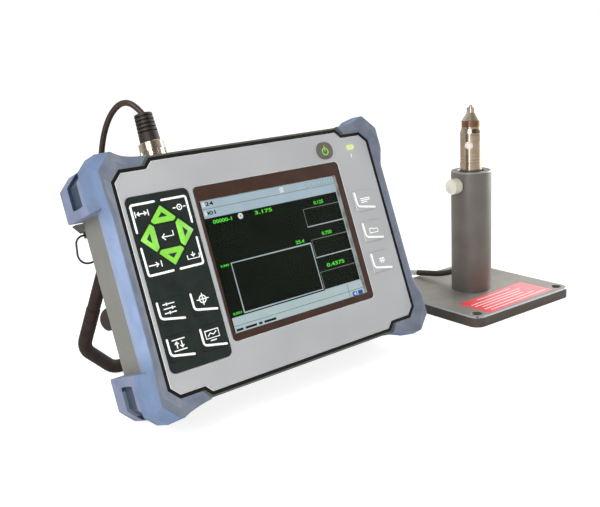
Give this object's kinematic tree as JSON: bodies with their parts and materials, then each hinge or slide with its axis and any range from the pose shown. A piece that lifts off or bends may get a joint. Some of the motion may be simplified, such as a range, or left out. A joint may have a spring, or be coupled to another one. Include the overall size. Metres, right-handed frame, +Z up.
{
  "type": "wall thickness gauge",
  "caption": "Bench wall thickness gauge: leaning instrument with rubber corner guards, keypad and sunk display, and a cabled pen probe clamped in an upright post on a square base plate.",
  "frame": {"origin": "bench surface below the middle of the gauge and its probe stand", "axes": "+X to the right seen from the operator, +Y away from the operator, +Z up"},
  "size_m": [0.43, 0.2221, 0.2056],
  "materials": {
    "bumper_rubber": "soft blue elastomer",
    "case_plastic": "fine textured grey",
    "dark_plastic": "fine textured black",
    "panel_paint": "light grey textured coat",
    "key_film": "dark satin film",
    "side_key_film": "grey satin film",
    "power_key_film": "grey brown satin film",
    "bezel_plastic": "dark brown",
    "display_glass": "flat clear window",
    "nickel": "satin nickel plate",
    "steel": "turned",
    "anodised": "black anodised",
    "black_rubber": "matt",
    "cable_jacket": "smooth jacket",
    "nylon": "ivory nylon",
    "board_laminate": "green laminate",
    "lens": "pale diffusing lens"
  },
  "bodies": {
    "gauge": {"front_housing": "case_plastic", "rear_housing": "case_plastic", "front_panel": "panel_paint", "panel_gasket": "black_rubber", "keypad_panel": "key_film", "keypad_mat": "black_rubber", "display_bezel": "bezel_plastic", "display_window": "display_glass", "lcd_module": "dark_plastic", "main_board": "board_laminate", "battery_pack": "dark_plastic", "battery_door": "case_plastic", "housing_screws": "steel", "status_lamp": "lens", "pivot_pins": "steel", "stand_catches": "dark_plastic", "probe_socket": "nickel", "plug_boot": "black_rubber", "bumper_right": "bumper_rubber", "bumper_left": "bumper_rubber", "rear_guards_right": "bumper_rubber", "rear_guards_left": "bumper_rubber", "base_plate": "anodised", "post": "anodised", "post_screw": "steel", "probe_body": "steel", "nose_ring": "anodised", "probe_nose": "steel", "probe_cable_upper": "cable_jacket", "cable_coil": "cable_jacket", "probe_cable_lower": "cable_jacket", "cable_collar": "nylon", "probe_strain_relief": "black_rubber"},
    "kickstand": {"kickstand_bar": "anodised", "kickstand_sleeve": "black_rubber"},
    "port_door_body": {"port_door": "case_plastic"},
    "nut_body": {"coupling_nut": "nickel"},
    "ring_left_body": {"strap_ring_left": "steel"},
    "ring_right_body": {"strap_ring_right": "steel"},
    "screw_left_body": {"battery_screw_left": "steel"},
    "screw_right_body": {"battery_screw_right": "steel"},
    "knob_body": {"clamp_knob": "nylon"},
    "probe_button_body": {"probe_button": "nylon"},
    "key_enter_body": {"key_enter": "key_film"},
    "key_up_body": {"key_up": "key_film"},
    "key_left_body": {"key_left": "key_film"},
    "key_down_body": {"key_down": "key_film"},
    "key_right_body": {"key_right": "key_film"},
    "key_upper_left_body": {"key_upper_left": "key_film"},
    "key_upper_right_body": {"key_upper_right": "key_film"},
    "key_lower_left_body": {"key_lower_left": "key_film"},
    "key_lower_right_body": {"key_lower_right": "key_film"},
    "function_key_1_body": {"function_key_1": "key_film"},
    "function_key_2_body": {"function_key_2": "key_film"},
    "function_key_3_body": {"function_key_3": "key_film"},
    "function_key_4_body": {"function_key_4": "key_film"},
    "side_key_1_body": {"side_key_1": "side_key_film"},
    "side_key_2_body": {"side_key_2": "side_key_film"},
    "side_key_3_body": {"side_key_3": "side_key_film"},
    "power_key_body": {"power_key": "power_key_film"}
  },
  "joints": [
    {"name": "kickstand_fold", "type": "hinge", "parent": "gauge", "child": "kickstand", "pos_m": [-0.09699, 0.03096, 0.11148], "axis": [-1, 0, 0], "range_deg": [0, 40.15]},
    {"name": "port_door_swing", "type": "hinge", "parent": "gauge", "child": "port_door_body", "pos_m": [0.00961, -0.01757, 0.08758], "axis": [0, -0.3404, -0.9403], "range_deg": [0, 95]},
    {"name": "coupling_nut_turn", "type": "hinge", "parent": "gauge", "child": "nut_body", "pos_m": [-0.15479, 0.01209, 0.16511], "axis": [0, 0.3404, 0.9403], "continuous": true},
    {"name": "strap_ring_left_swing", "type": "hinge", "parent": "gauge", "child": "ring_left_body", "pos_m": [-0.20119, 0.03186, 0.11924], "axis": [1, 0, 0], "range_deg": [-10, 75]},
    {"name": "battery_screw_left_turn", "type": "hinge", "parent": "gauge", "child": "screw_left_body", "pos_m": [-0.14699, -0.00403, 0.0295], "axis": [0, -0.9403, 0.3404], "continuous": true},
    {"name": "strap_ring_right_swing", "type": "hinge", "parent": "gauge", "child": "ring_right_body", "pos_m": [0.00721, 0.03186, 0.11924], "axis": [1, 0, 0], "range_deg": [-10, 75]},
    {"name": "battery_screw_right_turn", "type": "hinge", "parent": "gauge", "child": "screw_right_body", "pos_m": [-0.04699, -0.00403, 0.0295], "axis": [0, -0.9403, 0.3404], "continuous": true},
    {"name": "clamp_knob_turn", "type": "hinge", "parent": "gauge", "child": "knob_body", "pos_m": [0.13203, -0.0085, 0.106], "axis": [-0.999, 0.0436, 0], "continuous": true},
    {"name": "probe_button_press", "type": "slide", "parent": "gauge", "child": "probe_button_body", "axis": [0.891, 0.454, 0], "range_m": [0, 0.0006], "stiffness_N_per_m": 400},
    {"name": "key_enter_press", "type": "slide", "parent": "gauge", "child": "key_enter_body", "axis": [0, 0.9403, -0.3404], "range_m": [0, 0.0005], "stiffness_N_per_m": 400},
    {"name": "key_up_press", "type": "slide", "parent": "gauge", "child": "key_up_body", "axis": [0, 0.9403, -0.3404], "range_m": [0, 0.0005], "stiffness_N_per_m": 400},
    {"name": "key_left_press", "type": "slide", "parent": "gauge", "child": "key_left_body", "axis": [0, 0.9403, -0.3404], "range_m": [0, 0.0005], "stiffness_N_per_m": 400},
    {"name": "key_down_press", "type": "slide", "parent": "gauge", "child": "key_down_body", "axis": [0, 0.9403, -0.3404], "range_m": [0, 0.0005], "stiffness_N_per_m": 400},
    {"name": "key_right_press", "type": "slide", "parent": "gauge", "child": "key_right_body", "axis": [0, 0.9403, -0.3404], "range_m": [0, 0.0005], "stiffness_N_per_m": 400},
    {"name": "key_upper_left_press", "type": "slide", "parent": "gauge", "child": "key_upper_left_body", "axis": [0, 0.9403, -0.3404], "range_m": [0, 0.0005], "stiffness_N_per_m": 400},
    {"name": "key_upper_right_press", "type": "slide", "parent": "gauge", "child": "key_upper_right_body", "axis": [0, 0.9403, -0.3404], "range_m": [0, 0.0005], "stiffness_N_per_m": 400},
    {"name": "key_lower_left_press", "type": "slide", "parent": "gauge", "child": "key_lower_left_body", "axis": [0, 0.9403, -0.3404], "range_m": [0, 0.0005], "stiffness_N_per_m": 400},
    {"name": "key_lower_right_press", "type": "slide", "parent": "gauge", "child": "key_lower_right_body", "axis": [0, 0.9403, -0.3404], "range_m": [0, 0.0005], "stiffness_N_per_m": 400},
    {"name": "function_key_1_press", "type": "slide", "parent": "gauge", "child": "function_key_1_body", "axis": [0, 0.9403, -0.3404], "range_m": [0, 0.0005], "stiffness_N_per_m": 400},
    {"name": "function_key_2_press", "type": "slide", "parent": "gauge", "child": "function_key_2_body", "axis": [0, 0.9403, -0.3404], "range_m": [0, 0.0005], "stiffness_N_per_m": 400},
    {"name": "function_key_3_press", "type": "slide", "parent": "gauge", "child": "function_key_3_body", "axis": [0, 0.9403, -0.3404], "range_m": [0, 0.0005], "stiffness_N_per_m": 400},
    {"name": "function_key_4_press", "type": "slide", "parent": "gauge", "child": "function_key_4_body", "axis": [0, 0.9403, -0.3404], "range_m": [0, 0.0005], "stiffness_N_per_m": 400},
    {"name": "side_key_1_press", "type": "slide", "parent": "gauge", "child": "side_key_1_body", "axis": [0, 0.9403, -0.3404], "range_m": [0, 0.0005], "stiffness_N_per_m": 400},
    {"name": "side_key_2_press", "type": "slide", "parent": "gauge", "child": "side_key_2_body", "axis": [0, 0.9403, -0.3404], "range_m": [0, 0.0005], "stiffness_N_per_m": 400},
    {"name": "side_key_3_press", "type": "slide", "parent": "gauge", "child": "side_key_3_body", "axis": [0, 0.9403, -0.3404], "range_m": [0, 0.0005], "stiffness_N_per_m": 400},
    {"name": "power_key_press", "type": "slide", "parent": "gauge", "child": "power_key_body", "axis": [0, 0.9403, -0.3404], "range_m": [0, 0.0005], "stiffness_N_per_m": 400}
  ]
}
